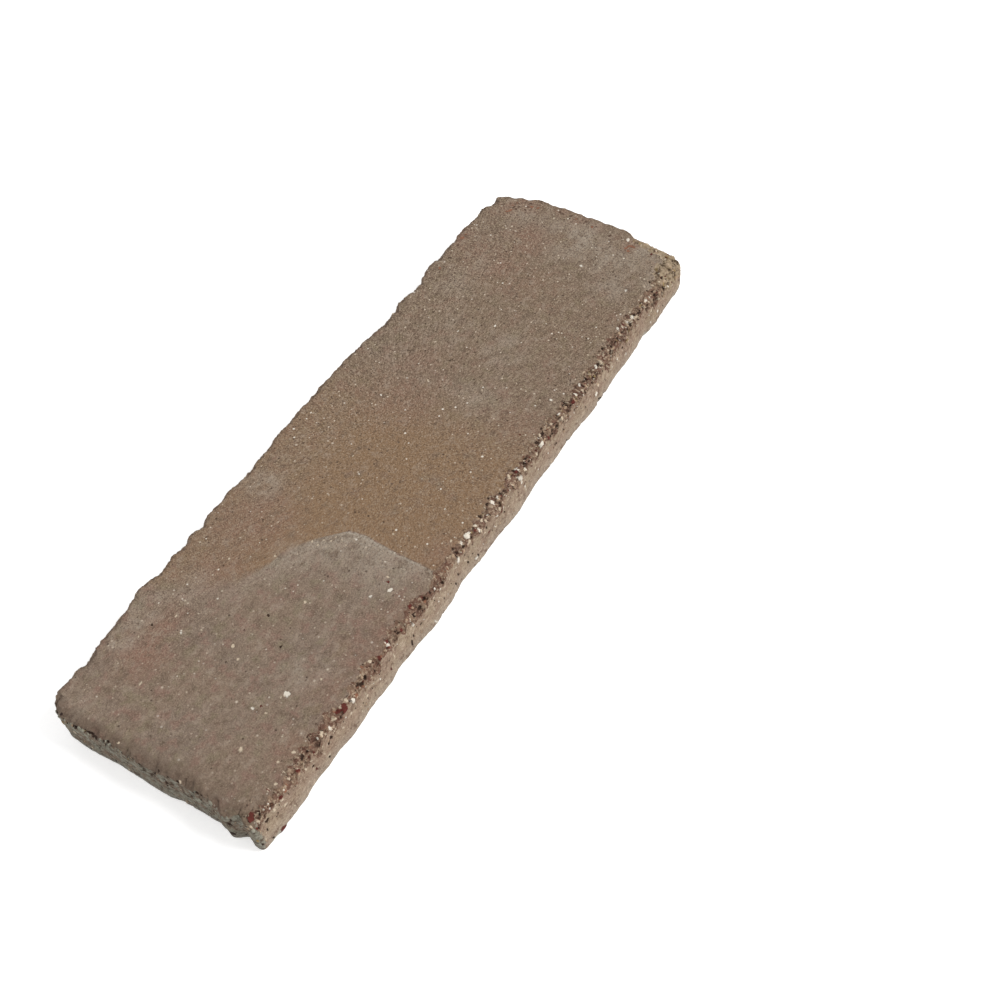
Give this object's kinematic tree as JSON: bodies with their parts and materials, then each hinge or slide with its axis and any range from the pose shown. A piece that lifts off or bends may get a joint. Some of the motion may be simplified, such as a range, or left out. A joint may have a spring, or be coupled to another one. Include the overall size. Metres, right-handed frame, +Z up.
{
  "type": "brick slip",
  "caption": "Thin rectangular facing slip of fired clay brick, with a flat sawn back, ragged sawn edges and a gently uneven natural face, bonded to a wall by its back.",
  "frame": {"origin": "under the middle of the slip, on the level that it rests on", "axes": "+X along the length, towards the end with the worn corner; +Y across the width, towards the crisp long side; +Z up through the thickness, out of the sawn back"},
  "size_m": [0.2138, 0.0686, 0.0126],
  "materials": {
    "fired_clay": "dull, dry fired clay with light grains"
  },
  "bodies": {
    "root": {"brick_slip": "fired_clay"}
  },
  "joints": []
}
